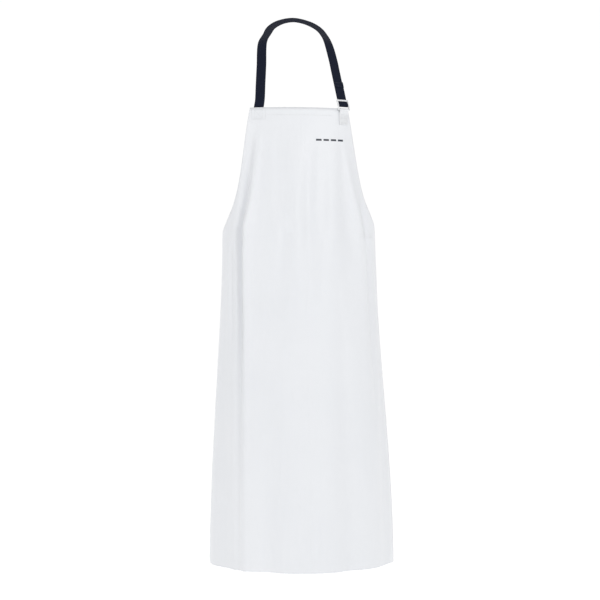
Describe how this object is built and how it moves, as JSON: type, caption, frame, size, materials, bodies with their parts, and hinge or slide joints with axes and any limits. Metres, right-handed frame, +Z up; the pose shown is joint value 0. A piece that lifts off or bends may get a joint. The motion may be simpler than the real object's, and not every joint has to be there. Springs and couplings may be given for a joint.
{
  "type": "butcher apron",
  "caption": "Full-length coated bib apron on a wearer's shape, with a webbing neck loop, ladder buckle, waist strap and back clip.",
  "frame": {"origin": "inner face of the neck strap at the back of the neck, where the apron hangs", "axes": "+Z up, front of the apron towards -Y, +X to the right of a viewer in front"},
  "size_m": [0.4798, 0.2981, 1.3959],
  "materials": {
    "coated_cloth": "smooth white coating, soft sheen",
    "backing_cloth": "matt knitted backing",
    "navy_webbing": "woven navy webbing",
    "white_tape": "woven white tape",
    "buckle_plastic": "satin moulded",
    "navy_thread": "twisted navy thread",
    "thread": "twisted sewing thread"
  },
  "bodies": {
    "apron": {"apron_panel": "coated_cloth", "top_edge_strip": "backing_cloth", "top_edge_stitches": "thread", "neck_patch_left": "backing_cloth", "neck_patch_right": "backing_cloth", "neck_anchor_webbing": "navy_webbing", "neck_anchor_stitches": "thread", "buckle_tape": "white_tape", "buckle_tape_stitches": "thread", "waist_patch_left": "backing_cloth", "waist_patch_right": "backing_cloth", "waist_stitches_left": "thread", "waist_stitches_right": "thread", "waist_strap_left": "navy_webbing", "waist_strap_right": "navy_webbing", "waist_socket": "buckle_plastic"},
    "neck_loop": {"neck_strap": "navy_webbing", "neck_buckle": "buckle_plastic"},
    "neck_tail": {"neck_strap_tail": "navy_webbing", "neck_tail_stitches": "navy_thread"},
    "waist_latch": {"waist_latch": "buckle_plastic", "waist_latch_arms": "buckle_plastic"},
    "waist_tail": {"waist_strap_tail": "navy_webbing", "waist_tail_stitches": "navy_thread"}
  },
  "joints": [
    {"name": "neck_loop_fold", "type": "hinge", "parent": "apron", "child": "neck_loop", "pos_m": [0.11164, -0.15151, -0.24791], "axis": [0.9333, 0.359, 0.0023], "range_deg": [-5, 150]},
    {"name": "neck_tail_slide", "type": "slide", "parent": "neck_loop", "child": "neck_tail", "axis": [-0.1417, 0.3626, 0.9211], "range_m": [0, 0.055]},
    {"name": "waist_latch_slide", "type": "slide", "parent": "apron", "child": "waist_latch", "axis": [1, 0, 0], "range_m": [0, 0.035], "deforming": ["waist_strap_right", "waist_latch_arms"]},
    {"name": "waist_tail_slide", "type": "slide", "parent": "waist_latch", "child": "waist_tail", "axis": [1, 0, 0], "range_m": [0, 0.06]}
  ]
}
